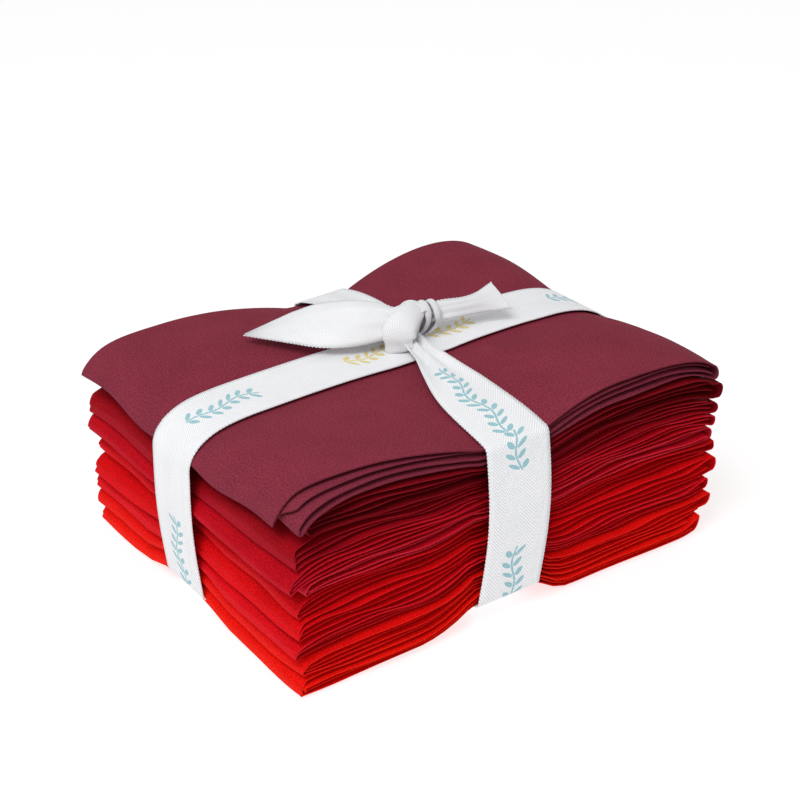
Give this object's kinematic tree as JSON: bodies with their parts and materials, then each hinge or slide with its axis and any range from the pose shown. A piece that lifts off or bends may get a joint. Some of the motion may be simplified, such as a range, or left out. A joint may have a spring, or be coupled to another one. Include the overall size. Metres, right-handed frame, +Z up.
{
  "type": "fat quarter bundle",
  "caption": "Pile of folded quilting cottons running from plum to orange-red, tied both ways with one length of white twill tape knotted on top.",
  "frame": {"origin": "middle of the bundle's box, on the surface that it rests on", "axes": "+X across the rounded folds, along the longest side; +Y along the folds, away from the end with the drawn-back corner; +Z up, the shortest side"},
  "size_m": [0.1956, 0.1582, 0.0904],
  "materials": {
    "cotton_01": "plain woven cotton, matt, orange red",
    "cotton_02": "plain woven cotton, matt, deep orange red",
    "cotton_03": "plain woven cotton, matt, poppy red",
    "cotton_04": "plain woven cotton, matt, bright red",
    "cotton_05": "plain woven cotton, matt, scarlet",
    "cotton_06": "plain woven cotton, matt, raspberry",
    "cotton_07": "plain woven cotton, matt, crimson",
    "cotton_08": "plain woven cotton, matt, dark crimson",
    "cotton_09": "plain woven cotton, matt, wine red",
    "cotton_10": "plain woven cotton, matt, plum",
    "twill_tape": "white cotton twill tape, herringbone weave, matt"
  },
  "bodies": {
    "root": {"fat_quarter_01": "cotton_01", "fat_quarter_02": "cotton_02", "fat_quarter_03": "cotton_03", "fat_quarter_04": "cotton_04", "fat_quarter_05": "cotton_05", "fat_quarter_06": "cotton_06", "fat_quarter_07": "cotton_07", "fat_quarter_08": "cotton_08", "fat_quarter_09": "cotton_09", "fat_quarter_10": "cotton_10", "tape": "twill_tape"}
  },
  "joints": []
}
